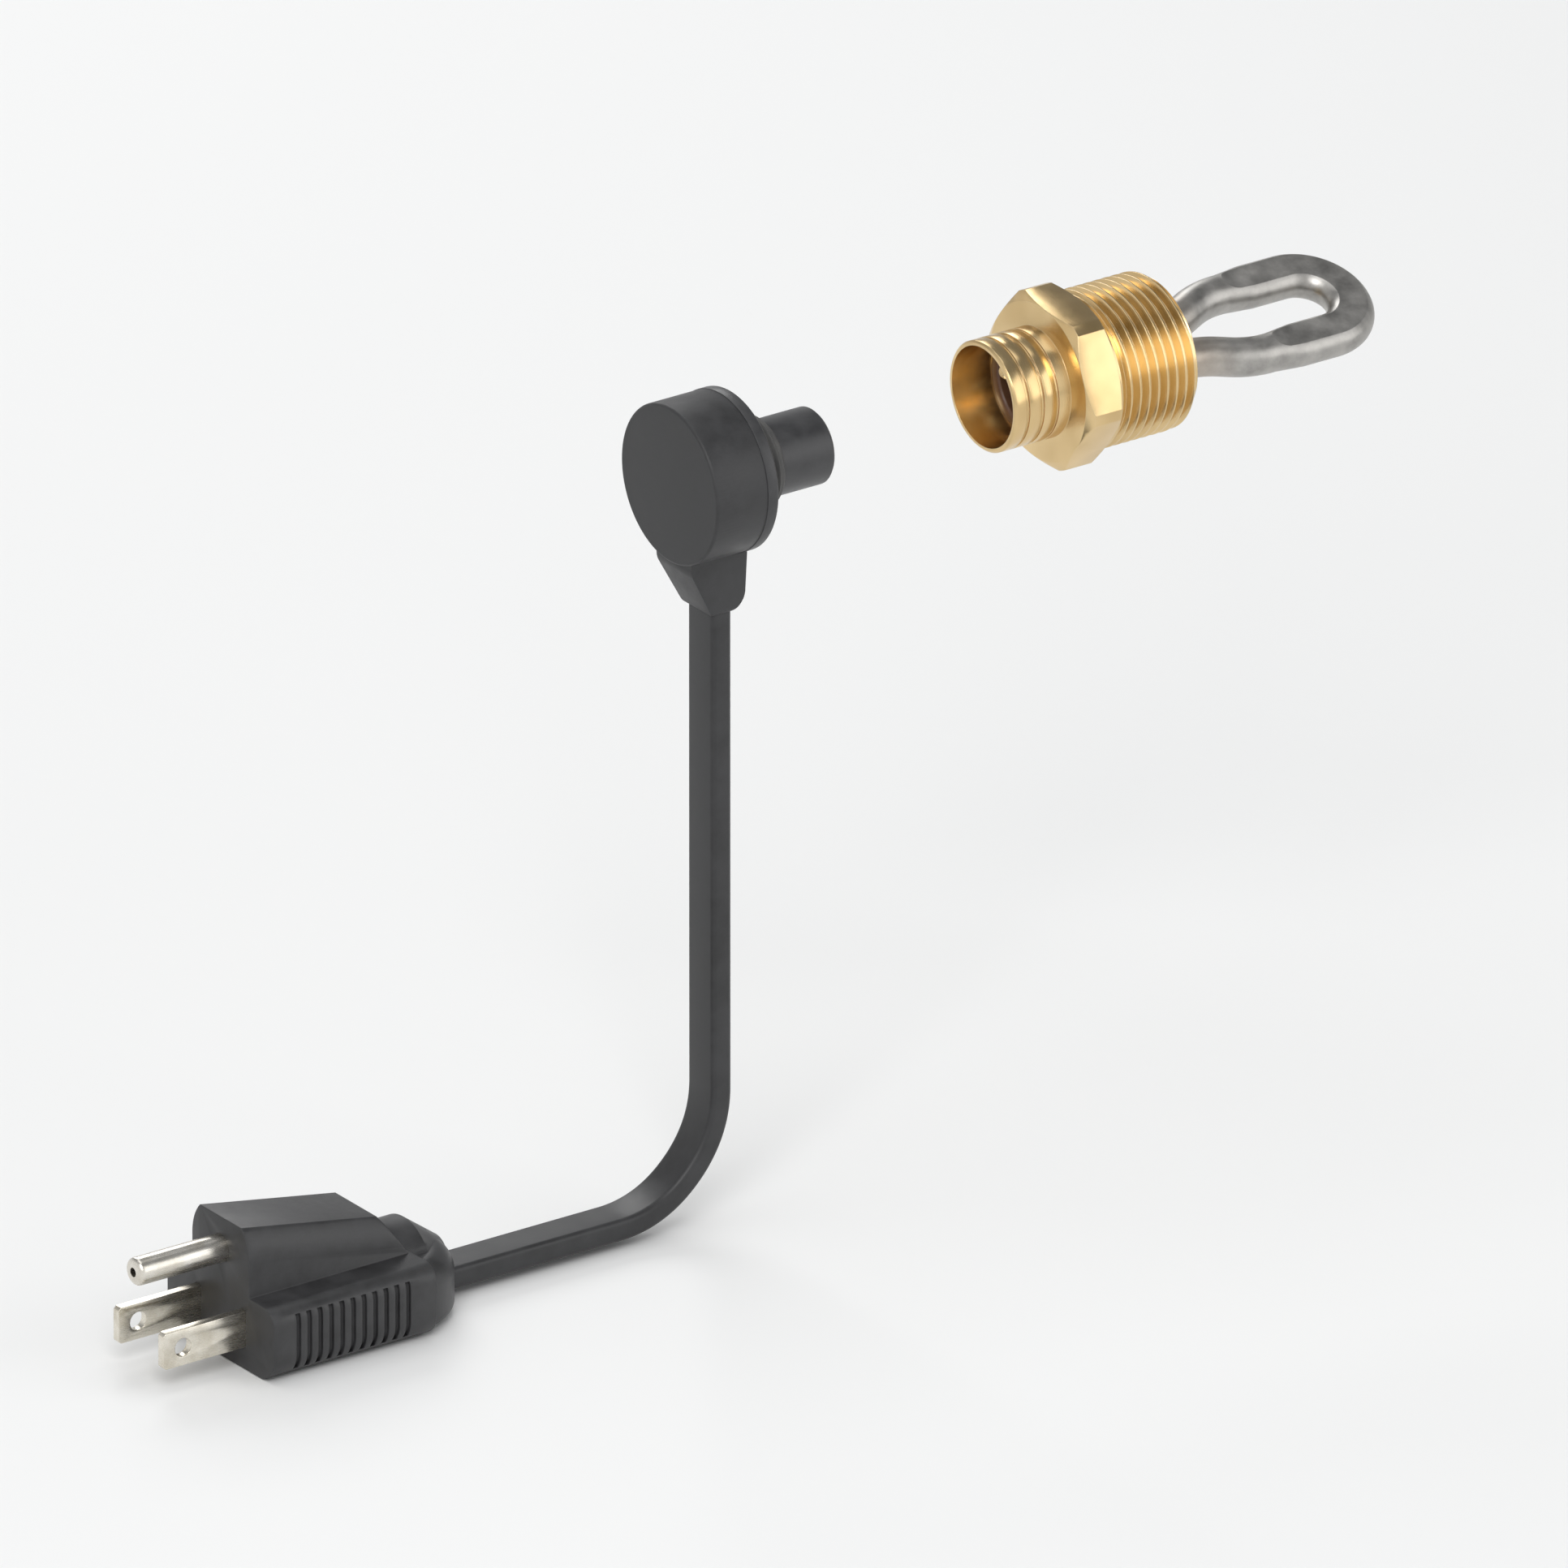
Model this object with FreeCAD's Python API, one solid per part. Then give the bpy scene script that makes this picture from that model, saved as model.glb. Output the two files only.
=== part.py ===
import FreeCAD, Part
import math
import os

Vector = FreeCAD.Vector

# Engine block heater: a threaded heater plug and the cord set that pushes onto it.
# The row frame has +X along the heater's axis into the engine block, +Z up,
# and its origin on that axis where the thread meets the hexagon.

# Threaded plug, turned from hexagon bar
thread_radius = 13.335
thread_length = 16.2
thread_lead_in = 1.2
hex_across_flats = 27.0
hex_length = 7.0
hex_corner_angle = 8.0
hex_chamfer = 0.9
hex_chamfer_angle = 30.0
collar_radius = 9.4
collar_wall = 0.8
collar_length = 11.0
collar_lip = 0.35
ring_groove_count = 3
ring_groove_pitch = 2.9
ring_groove_width = 0.6
ring_groove_depth = 0.3
plug_floor_x = 4.0

# Tubular heating element, bent to a bulged loop whose bend is pressed flat on both faces
element_radius = 3.25
sheath_wall = 0.75
leg_offset = 4.0
loop_offset = 7.6
loop_tilt = 20.0
leg_end_x = 3.0
sway_start = 6.0
sway_length = 8.0
sway_radius = 16.0
blend_run = 0.5658
blend_length = 5.0
bend_centre = 30.0
pressed_half_width = 3.95
pressed_half_height = 2.6
press_start = 20.5
press_end_radius = 5.0
press_margin = 2.0
coil_radius = 1.25
seal_length = 2.5

# Terminals, on a circle round the heater's axis
terminal_radius = 1.2
terminal_tip = 0.4
pin_start_x = 9.0
pin_tip_x = -11.5
ground_pin_lead = 1.0
ground_pin_seat = 4.0

# Moulded insulator cup and the sealing compound behind it
insulator_rim_x = -10.0
insulator_well_radius = 6.9
insulator_well_x = -0.6
insulator_base = 1.6
insulator_bevel = 0.4

# Connector on the cord, drawn back along the axis by its travel
connector_travel = 49.8
seat_gap = 0.3
flange_radius = 13.7
flange_thickness = 2.2
flange_bevel = 0.3
nose_radius = 6.5
nose_length = 16.4
nose_bevel = 0.6
carrier_root_radius = 8.0
carrier_root_length = 2.0
cap_radius = 13.6
cap_length = 10.0
cap_edge_round = 0.5
mouth_seal_length = 5.8
mouth_seal_clearance = 0.3
seal_lips = 3
seal_lip_first = 0.5
seal_lip_pitch = 1.5
seal_lip_width = 1.2
seal_lip_depth = 0.6
sleeve_clearance = 0.1
sleeve_wall = 0.45
sleeve_recess = 0.8
sleeve_bore_margin = 1.5
guide_clearance = 0.3
boss_bottom_z = -23.3
boss_root_radius = 6.0
boss_half_width = 4.3
boss_corner = 0.8
boss_back_step = 1.0
boss_shoulder_z = -14.6
boss_shoulder_round = 3.0
boss_rear_wall = 2.4
boss_rear_round = 0.6
boss_front_wall = 3.9
boss_foot_round = 3.4
boss_front_step = 0.35

# Flat three-core cord
cord_width = 7.3
cord_thickness = 3.9
cord_corner = 0.9
core_radius = 0.95
core_pitch = 2.2
cord_inset = 8.0
cord_bend_share = 0.45
cord_fall = 104.3
cord_run = 54.2
lead_bend = 2.0
lead_run_back = 4.0
lead_turn_height = 11.3
lead_join_height = 4.3

# Moulded plug, straight blade with ground pin; heights are measured from the plane of the blades
plug_length = 42.4
cord_below_blades = 3.7
lobe_length = 32.0
lobe_half_width = 15.1
lobe_top = 5.7
lobe_bottom = -7.1
lobe_top_corner = 2.8
lobe_bottom_corner = 4.4
dome_radius = 8.0
dome_roof = 17.4
dome_length = 31.4
dome_fall = 5.6
dome_rear_lean = 4.2
neck_radius = 13.4
neck_end_flat = 0.7
neck_top = 4.3
neck_bottom = -6.3
neck_top_round = 4.0
neck_bottom_round = 1.5
relief_radius = 8.1
relief_length = 4.0
relief_end_radius = 3.4
rib_count = 11
rib_pitch = 2.16
rib_groove = 0.95
rib_depth = 0.7
rib_first = 4.4
rib_top = 4.3
rib_bottom = -5.6
rib_inner = 9.6

# Blades and the bridge that holds them inside the plug
blade_height = 6.35
blade_thickness = 1.5
blade_reach = 16.2
blade_half_gap = 6.35
blade_tail = 6.0
blade_tail_half = 1.4
blade_hole_radius = 1.6
blade_hole_inset = 3.9
blade_tip_chamfer = 0.5
ground_radius = 2.38
ground_shank_radius = 1.6
ground_reach = 17.2
ground_height = 11.9
ground_tip_round = 0.9
ground_bore_radius = 0.8
ground_bore_depth = 7.0
bridge_setback = 2.5
bridge_length = 7.5
bridge_half_width = 9.6
bridge_half_height = 4.6
bridge_neck = 2.9
core_run = 3.0
core_gather = 8.0
core_bend = 3.0

# Places worked out from the sizes above
hex_x = -hex_length
rim_x = hex_x - collar_length
mouth_radius = collar_radius - collar_wall
flange_front_x = rim_x - connector_travel
flange_back_x = flange_front_x - flange_thickness
cap_back_x = flange_back_x - cap_length
nose_tip_x = flange_front_x + nose_length
carrier_back_x = flange_back_x - carrier_root_length
joint_range = connector_travel - seat_gap
sleeve_bore_radius = terminal_radius + sleeve_clearance
sleeve_radius = sleeve_bore_radius + sleeve_wall
sleeve_front_x = nose_tip_x - sleeve_recess
sleeve_bore_end = pin_tip_x - ground_pin_lead - joint_range - sleeve_bore_margin
compound_x = insulator_well_x + insulator_base
cord_drop_x = cap_back_x + cord_inset
cord_plug_x = cord_drop_x - cord_run
cord_floor_z = boss_bottom_z - cord_fall
plug_face_x = cord_plug_x - plug_length
plug_rear_x = plug_face_x + lobe_length
blade_plane_z = cord_floor_z + cord_below_blades
ground_axis_z = blade_plane_z + ground_height
axis_x = Vector(1, 0, 0)


# Solid cylinder along X between two places
def rod(radius, start, end, y=0.0, z=0.0):
    return Part.makeCylinder(radius, end - start, Vector(start, y, z), axis_x)


# Solid turned about the X axis from an outline of (x, radius) corners
def turned(corners):
    points = [Vector(x, 0, radius) for x, radius in corners]
    outline = Part.makePolygon(points + [points[0]])
    return Part.Face(outline).revolve(Vector(0, 0, 0), axis_x, 360)


def block(low, high):
    return Part.makeBox(high[0] - low[0], high[1] - low[1], high[2] - low[2], Vector(*low))


# Straight runs joined by tangent arcs of the given radii
def rounded_route(points, radii):
    pieces = []
    here = points[0]
    for index in range(1, len(points) - 1):
        corner = points[index]
        arriving = (corner - points[index - 1]).normalize()
        leaving = (points[index + 1] - corner).normalize()
        half_turn = arriving.getAngle(leaving) / 2
        radius = radii[index - 1]
        reach = radius * math.tan(half_turn)
        first = corner - arriving * reach
        last = corner + leaving * reach
        inward = (leaving - arriving).normalize()
        middle = corner + inward * (radius / math.cos(half_turn) - radius)
        if (first - here).Length > 1e-6:
            pieces.append(Part.LineSegment(here, first))
        pieces.append(Part.Arc(first, middle, last))
        here = last
    pieces.append(Part.LineSegment(here, points[-1]))
    return Part.Wire([piece.toShape() for piece in pieces])


# Round bar swept along a route
def swept_bar(route, radius):
    start = route.Edges[0].Vertexes[0].Point
    heading = route.Edges[0].tangentAt(route.Edges[0].FirstParameter)
    ring = Part.Wire([Part.makeCircle(radius, start, heading)])
    return route.makePipe(Part.Face(ring))


# Outline points of the element's route in the plane of the loop, on one side
def arm_points(start_x):
    sway_x = thread_length + sway_start
    return [
        Vector(start_x, leg_offset, 0),
        Vector(sway_x, leg_offset, 0),
        Vector(sway_x + sway_length, loop_offset, 0),
    ]


# Where an arm runs straight again after its sway
def blend_place():
    slope = (loop_offset - leg_offset) / sway_length
    reach = sway_radius * math.tan(math.atan(slope) / 2)
    return thread_length + sway_start + sway_length + reach + blend_run


# Whole route of the loop from one leg to the other
def loop_route(start_x):
    arm = arm_points(start_x)
    turn_x = thread_length + bend_centre + loop_offset
    corners = [Vector(turn_x, loop_offset, 0), Vector(turn_x, -loop_offset, 0)]
    back = [Vector(point.x, -point.y, 0) for point in reversed(arm)]
    radii = [sway_radius, sway_radius, loop_offset, loop_offset, sway_radius, sway_radius]
    return rounded_route(arm + corners + back, radii)


# Section across one arm: a circle where the tube is still round, an oval where it is pressed
def oval(x, half_width, half_height):
    centre = Vector(x, loop_offset, 0)
    if half_width == half_height:
        ring = Part.makeCircle(half_height, centre, axis_x)
        ring.rotate(centre, axis_x, -90)
        return Part.Wire([ring])
    wide = centre + Vector(0, half_width, 0)
    high = centre + Vector(0, 0, half_height)
    return Part.Wire([Part.Ellipse(wide, high, centre).toShape()])


# Press die over one face of the bend, with a rounded run-out across both arms
def press_die(half_height):
    reach = loop_offset + pressed_half_width + press_margin
    start_x = thread_length + press_start
    end_x = thread_length + bend_centre + reach
    die = block((start_x, -reach, half_height), (end_x, reach, half_height + press_end_radius))
    edge = Vector(start_x, -reach, half_height + press_end_radius)
    return die.fuse(Part.makeCylinder(press_end_radius, 2 * reach, edge, Vector(0, 1, 0)))


# Element tube of a given size: two legs, a bulge, and a bend pressed wider and flatter
def element_form(radius, half_width, half_height, start_x):
    blend_x = blend_place()
    oval_x = blend_x + blend_length
    bend_x = thread_length + bend_centre
    points = arm_points(start_x) + [Vector(blend_x, loop_offset, 0)]
    arm = swept_bar(rounded_route(points, [sway_radius, sway_radius]), radius)
    blend = Part.makeLoft([oval(blend_x, radius, radius), oval(oval_x, half_width, radius)], True)
    straight = Part.Face(oval(oval_x, half_width, radius)).extrude(Vector(bend_x - oval_x, 0, 0))
    half = arm.fuse([blend, straight])
    bend = Part.Face(oval(bend_x, half_width, radius))
    bend = bend.revolve(Vector(bend_x, 0, 0), Vector(0, 0, -1), 180)
    form = half.fuse([bend, half.mirror(Vector(0, 0, 0), Vector(0, 1, 0))])
    above = press_die(half_height)
    return form.cut([above, above.mirror(Vector(0, 0, 0), Vector(0, 0, 1))])


# Turns a piece from the loop's plane to its true angle about the heater's axis
def tilted(shape):
    shape.rotate(Vector(0, 0, 0), axis_x, loop_tilt)
    return shape


# Place of a terminal on its circle, as y and z
def terminal_place(name):
    angle = {"line": 180.0, "neutral": 0.0, "ground": 90.0}[name]
    turn = math.radians(angle + loop_tilt)
    return leg_offset * math.cos(turn), leg_offset * math.sin(turn)


def hex_prism():
    corner = hex_across_flats / math.sqrt(3)
    points = []
    for index in range(7):
        turn = math.radians(hex_corner_angle + 60 * index)
        points.append(Vector(hex_x, corner * math.cos(turn), corner * math.sin(turn)))
    prism = Part.Face(Part.makePolygon(points)).extrude(Vector(hex_length, 0, 0))
    flat = hex_across_flats / 2
    crown = flat + hex_chamfer / math.tan(math.radians(hex_chamfer_angle))
    ends = turned([(hex_x, 0), (hex_x, flat), (hex_x + hex_chamfer, crown),
                   (-hex_chamfer, crown), (0, flat), (0, 0)])
    return prism.common(ends)


# Collar round the socket, with its ring grooves and a bevelled lip
def collar():
    tube = turned([(rim_x, 0), (rim_x, collar_radius - collar_lip),
                   (rim_x + collar_lip, collar_radius), (hex_x, collar_radius), (hex_x, 0)])
    for index in range(ring_groove_count):
        start = hex_x - ring_groove_pitch * (index + 1)
        end = start + ring_groove_width
        ring = rod(collar_radius + ring_groove_depth, start, end)
        tube = tube.cut(ring.cut(rod(collar_radius - ring_groove_depth, start, end)))
    return tube


def hex_plug():
    thread = turned([(0, 0), (0, thread_radius), (thread_length - thread_lead_in, thread_radius),
                     (thread_length, thread_radius - thread_lead_in), (thread_length, 0)])
    body = collar().fuse([hex_prism(), thread])
    body = body.cut(rod(mouth_radius, rim_x, plug_floor_x))
    for side in (-leg_offset, leg_offset):
        body = body.cut(tilted(rod(element_radius, plug_floor_x, thread_length, side)))
    y, z = terminal_place("ground")
    return body.cut(rod(terminal_radius, plug_floor_x, plug_floor_x + ground_pin_seat, y, z))


def element_sheath():
    bore = element_form(element_radius - sheath_wall, pressed_half_width - sheath_wall,
                        pressed_half_height - sheath_wall, leg_end_x)
    outer = element_form(element_radius, pressed_half_width, pressed_half_height, leg_end_x)
    return tilted(outer.cut(bore))


def resistance_coil():
    return tilted(swept_bar(loop_route(pin_start_x), coil_radius))


def magnesia_fill():
    fill = tilted(element_form(element_radius - sheath_wall, pressed_half_width - sheath_wall,
                               pressed_half_height - sheath_wall, leg_end_x + seal_length))
    return fill.cut([resistance_coil(), terminal_pin("line"), terminal_pin("neutral")])


# Pin with a bevelled tip that points out of the socket
def pin(tip_x, end_x, place):
    bevel = terminal_radius - terminal_tip
    shape = turned([(tip_x, 0), (tip_x, bevel), (tip_x + terminal_tip, terminal_radius),
                    (end_x, terminal_radius), (end_x, 0)])
    shape.translate(Vector(0, *place))
    return shape


def terminal_pin(name):
    return pin(pin_tip_x, pin_start_x, terminal_place(name))


def ground_terminal():
    return pin(pin_tip_x - ground_pin_lead, plug_floor_x + ground_pin_seat, terminal_place("ground"))


def end_seal(name):
    y, z = terminal_place(name)
    plug = rod(element_radius - sheath_wall, leg_end_x, leg_end_x + seal_length, y, z)
    return plug.cut(terminal_pin(name))


def terminal_pins():
    return [terminal_pin("line"), terminal_pin("neutral"), ground_terminal()]


# Cup that lines the socket and carries the three terminals through its base
def terminal_insulator():
    cup = turned([(insulator_rim_x, insulator_well_radius + insulator_bevel),
                  (insulator_rim_x, mouth_radius), (compound_x, mouth_radius), (compound_x, 0),
                  (insulator_well_x, 0), (insulator_well_x, insulator_well_radius),
                  (insulator_rim_x + insulator_bevel, insulator_well_radius)])
    return cup.cut(terminal_pins())


# Sealing compound cast round the element's ends, behind the insulator
def sealing_compound():
    disc = rod(mouth_radius, compound_x, plug_floor_x)
    for side in (-leg_offset, leg_offset):
        disc = disc.cut(tilted(rod(element_radius, leg_end_x, plug_floor_x, side)))
    return disc.cut(terminal_pins())


# Disc and nose that carry the three contact sleeves
def contact_carrier():
    body = turned([(carrier_back_x, 0), (carrier_back_x, carrier_root_radius),
                   (flange_back_x, carrier_root_radius), (flange_back_x, flange_radius),
                   (flange_front_x - flange_bevel, flange_radius),
                   (flange_front_x, flange_radius - flange_bevel), (flange_front_x, nose_radius),
                   (nose_tip_x - nose_bevel, nose_radius), (nose_tip_x, nose_radius - nose_bevel),
                   (nose_tip_x, 0)])
    for name in ("line", "neutral", "ground"):
        y, z = terminal_place(name)
        body = body.cut(rod(sleeve_radius, carrier_back_x, sleeve_front_x, y, z))
        body = body.cut(rod(terminal_radius + guide_clearance, sleeve_front_x, nose_tip_x, y, z))
    return body


def contact_sleeve(name):
    y, z = terminal_place(name)
    shell = rod(sleeve_radius, carrier_back_x, sleeve_front_x, y, z)
    return shell.cut(rod(sleeve_bore_radius, sleeve_bore_end, sleeve_front_x, y, z))


# Rubber ring at the root of the nose, with lips that wipe the socket
def mouth_seal():
    lip = mouth_radius - mouth_seal_clearance
    web = lip - seal_lip_depth
    corners = [(flange_front_x, nose_radius), (flange_front_x, web)]
    for index in range(seal_lips):
        start = flange_front_x + seal_lip_first + seal_lip_pitch * index
        corners += [(start, web), (start + seal_lip_width / 2, lip), (start + seal_lip_width, web)]
    end = flange_front_x + mouth_seal_length
    corners += [(end - seal_lip_depth, web), (end, web - seal_lip_depth), (end, nose_radius)]
    return turned(corners)


# Boss outline seen along the axis: a tongue that narrows from the cap down to the cord
def boss_front():
    foot_y = boss_half_width - boss_corner
    foot_z = boss_bottom_z + boss_corner
    span = math.hypot(foot_y, foot_z)
    lean = math.atan2(foot_z, foot_y) + math.acos((boss_root_radius - boss_corner) / span)
    out_y = math.cos(lean)
    out_z = math.sin(lean)
    high = Vector(0, boss_root_radius * out_y, boss_root_radius * out_z)
    low = Vector(0, foot_y + boss_corner * out_y, foot_z + boss_corner * out_z)
    half = (lean - math.pi / 2) / 2
    curve = Vector(0, foot_y + boss_corner * math.cos(half), foot_z + boss_corner * math.sin(half))
    foot = Vector(0, foot_y, boss_bottom_z)
    top = Vector(0, 0, boss_root_radius)
    other = [Vector(0, -point.y, point.z) for point in (high, low, curve, foot)]
    edges = [Part.Arc(other[0], top, high), Part.LineSegment(high, low), Part.Arc(low, curve, foot),
             Part.LineSegment(foot, other[3]), Part.Arc(other[3], other[2], other[1]),
             Part.LineSegment(other[1], other[0])]
    return Part.Face(Part.Wire([edge.toShape() for edge in edges]))


# Boss outline seen from the side: as deep as the cap, its back sloped in to the cord, its foot rounded
def boss_side():
    front_x = flange_front_x - boss_front_step
    back_x = cap_back_x + boss_back_step
    points = [Vector(back_x, 0, boss_root_radius), Vector(back_x, 0, boss_shoulder_z),
              Vector(cord_drop_x - boss_rear_wall, 0, boss_bottom_z),
              Vector(cord_drop_x + boss_front_wall, 0, boss_bottom_z), Vector(front_x, 0, 0),
              Vector(front_x, 0, boss_root_radius)]
    radii = [boss_shoulder_round, boss_rear_round, boss_foot_round, boss_shoulder_round]
    outline = rounded_route(points, radii)
    top = Part.LineSegment(points[-1], points[0]).toShape()
    side = Part.Face(Part.Wire(outline.Edges + [top]))
    side.translate(Vector(0, -2 * cap_radius, 0))
    return side.extrude(Vector(0, 4 * cap_radius, 0))


def connector_housing():
    outline = boss_front()
    outline.translate(Vector(cap_back_x, 0, 0))
    boss = outline.extrude(Vector(flange_front_x - cap_back_x, 0, 0)).common(boss_side())
    cap = rod(cap_radius, cap_back_x, flange_back_x)
    rim = [edge for edge in cap.Edges if abs(edge.BoundBox.XMax - cap_back_x) < 0.01]
    body = cap.makeFillet(cap_edge_round, rim).fuse(boss)
    body = body.cut(rod(flange_radius, flange_back_x, flange_front_x))
    body = body.cut(rod(carrier_root_radius, carrier_back_x, flange_back_x))
    return body.cut([connector_lead(name) for name in ("line", "neutral", "ground")])


# Places of the three cores across the flat cord
def core_offset(name):
    return {"line": -core_pitch, "neutral": core_pitch, "ground": 0.0}[name]


# Insulated core from a contact sleeve down into the cord
def connector_lead(name):
    y, z = terminal_place(name)
    across = core_offset(name)
    back_x = carrier_back_x - lead_run_back
    turn_z = boss_bottom_z + lead_turn_height
    join_z = boss_bottom_z + lead_join_height
    points = [Vector(carrier_back_x, y, z), Vector(back_x, y, z), Vector(back_x, across, turn_z),
              Vector(cord_drop_x, across, join_z), Vector(cord_drop_x, across, boss_bottom_z)]
    return swept_bar(rounded_route(points, [lead_bend, lead_bend, lead_bend]), core_radius)


# Route of the cord: straight down from the connector, one wide bend, straight to the plug
def cord_route():
    points = [Vector(cord_drop_x, 0, boss_bottom_z), Vector(cord_drop_x, 0, cord_floor_z),
              Vector(cord_plug_x, 0, cord_floor_z)]
    shorter = min((points[1] - points[0]).Length, (points[2] - points[1]).Length)
    turn = (points[1] - points[0]).getAngle(points[2] - points[1])
    radius = cord_bend_share * shorter / math.tan(turn / 2)
    print("cord radii (mm):", round(radius, 1))
    return rounded_route(points, [radius])


# Flat cord with softly rounded corners, its width kept along Y
def cord():
    route = cord_route()
    low = Vector(cord_drop_x - cord_thickness / 2, -cord_width / 2, boss_bottom_z)
    blank = Part.makeBox(cord_thickness, cord_width, 1, low)
    upright = [edge for edge in blank.Edges if edge.BoundBox.ZLength > 0.5]
    rounded = blank.makeFillet(cord_corner, upright)
    section = min(rounded.Faces, key=lambda face: face.CenterOfMass.z).OuterWire
    solid = route.makePipeShell([section], True, False)
    length = route.Length
    area = Part.Face(section).Area
    print("cord volume against section times length:", round(solid.Volume / (area * length), 4))
    return solid


# Rounded bar that makes the plug's lower lobe, let in by a depth all round
def lobe_bar(depth):
    half_width = lobe_half_width - depth
    low = (plug_face_x, -half_width, blade_plane_z + lobe_bottom + depth)
    high = (plug_rear_x, half_width, blade_plane_z + lobe_top - depth)
    bar = block(low, high)
    for height, corner in ((high[2], lobe_top_corner), (low[2], lobe_bottom_corner)):
        edges = [edge for edge in bar.Edges
                 if edge.BoundBox.XLength > 0.5 and abs(edge.BoundBox.ZMin - height) < 0.01]
        bar = bar.makeFillet(corner - depth, edges)
    return bar


# Grooves between the grip ribs on both cheeks of the plug
def rib_grooves():
    core = lobe_bar(rib_depth)
    reach = lobe_half_width + rib_depth
    grooves = []
    for index in range(rib_count):
        start = plug_face_x + rib_first + rib_pitch * index
        for side in (-1, 1):
            low_y, high_y = sorted((side * rib_inner, side * reach))
            cheek = block((start, low_y, blade_plane_z + rib_bottom),
                          (start + rib_groove, high_y, blade_plane_z + rib_top))
            grooves.append(cheek.cut(core))
    return grooves


# Dome round the ground prong, flat on its roof, falling to the rear and cut off at a lean
def dome():
    roof_z = blade_plane_z + dome_roof
    roof_half = math.sqrt(dome_radius ** 2 - (roof_z - ground_axis_z) ** 2)
    turn = math.atan2(roof_z - ground_axis_z, roof_half) / 2
    sides = []
    for side in (-1, 1):
        foot = Vector(plug_face_x, side * dome_radius, blade_plane_z)
        spring = Vector(plug_face_x, side * dome_radius, ground_axis_z)
        middle = Vector(plug_face_x, side * dome_radius * math.cos(turn),
                        ground_axis_z + dome_radius * math.sin(turn))
        roof = Vector(plug_face_x, side * roof_half, roof_z)
        sides.append((foot, spring, middle, roof))
    (foot, spring, middle, roof), (foot2, spring2, middle2, roof2) = sides
    edges = [Part.LineSegment(foot, spring), Part.Arc(spring, middle, roof),
             Part.LineSegment(roof, roof2), Part.Arc(roof2, middle2, spring2),
             Part.LineSegment(spring2, foot2), Part.LineSegment(foot2, foot)]
    section = Part.Face(Part.Wire([edge.toShape() for edge in edges]))
    bar = section.extrude(Vector(dome_length, 0, -dome_fall))
    foot_x = plug_face_x + dome_length
    ledge_z = blade_plane_z + lobe_top
    lean = dome_rear_lean / (dome_roof - dome_fall - lobe_top)
    low_z = blade_plane_z - dome_fall
    corners = [(foot_x + lean * (ledge_z - low_z), low_z), (foot_x - lean * (roof_z - ledge_z), roof_z),
               (foot_x + dome_length, roof_z), (foot_x + dome_length, low_z)]
    points = [Vector(x, -2 * dome_radius, z) for x, z in corners]
    behind = Part.Face(Part.makePolygon(points + [points[0]]))
    return bar.cut(behind.extrude(Vector(0, 4 * dome_radius, 0)))


# Round rear end of the plug, seen from above, with softened rims and a flat where the cord enters
def neck():
    centre_x = cord_plug_x + neck_end_flat - neck_radius
    low_z = blade_plane_z + neck_bottom
    puck = Part.makeCylinder(neck_radius, neck_top - neck_bottom, Vector(centre_x, 0, low_z))
    for height, radius in ((blade_plane_z + neck_top, neck_top_round), (low_z, neck_bottom_round)):
        rim = [edge for edge in puck.Edges
               if abs(edge.BoundBox.ZMin - height) < 0.01 and edge.BoundBox.ZLength < 0.01]
        puck = puck.makeFillet(radius, rim)
    beyond = block((cord_plug_x, -neck_radius, low_z), (cord_plug_x + neck_radius, neck_radius, 0))
    return puck.cut(beyond)


# Cone on the neck that falls to the cord
def relief():
    cone_x = plug_rear_x + relief_length
    form = turned([(plug_rear_x - neck_radius / 2, 0), (plug_rear_x - neck_radius / 2, relief_radius),
                   (cone_x, relief_radius), (cord_plug_x, relief_end_radius), (cord_plug_x, 0)])
    form.translate(Vector(0, 0, blade_plane_z))
    below = block((plug_face_x, -neck_radius, blade_plane_z - neck_radius),
                  (cord_plug_x, neck_radius, blade_plane_z))
    return form.cut(below)


# Outer form of the plug: ribbed lower lobe, domed back, and a round end with its cone
def plug_form():
    lobe = lobe_bar(0).cut(rib_grooves())
    return lobe.fuse([dome(), neck(), relief()])


def plug_moulding():
    inside = [blade_bridge(), blade("line"), blade("neutral"), ground_prong()]
    inside += [plug_lead(name) for name in ("line", "neutral", "ground")]
    return plug_form().cut(inside)


# Moulded bridge that holds the two blades and the ground prong in line
def blade_bridge():
    start = plug_face_x + bridge_setback
    end = start + bridge_length
    bar = block((start, -bridge_half_width, blade_plane_z - bridge_half_height),
                (end, bridge_half_width, blade_plane_z + bridge_half_height))
    post = block((start, -bridge_neck, blade_plane_z), (end, bridge_neck, ground_axis_z))
    ring = rod(bridge_neck, start, end, 0, ground_axis_z)
    body = bar.fuse([post, ring]).removeSplitter()
    return body.cut([blade("line"), blade("neutral"), ground_prong()])


# Flat blade with a hole near its tip, stepped down to a tail for the core
def blade(name):
    side = {"line": -1, "neutral": 1}[name]
    tip_x = plug_face_x - blade_reach
    step_x = plug_face_x + bridge_setback + bridge_length
    half = blade_height / 2
    upper = [(tip_x, half - blade_tip_chamfer), (tip_x + blade_tip_chamfer, half), (step_x, half),
             (step_x, blade_tail_half), (step_x + blade_tail, blade_tail_half)]
    lower = [(x, -z) for x, z in reversed(upper)]
    y = side * blade_half_gap - blade_thickness / 2
    points = [Vector(x, y, blade_plane_z + z) for x, z in upper + lower]
    plate = Part.Face(Part.makePolygon(points + [points[0]])).extrude(Vector(0, blade_thickness, 0))
    centre = Vector(tip_x + blade_hole_inset, y, blade_plane_z)
    return plate.cut(Part.makeCylinder(blade_hole_radius, blade_thickness, centre, Vector(0, 1, 0)))


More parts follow.
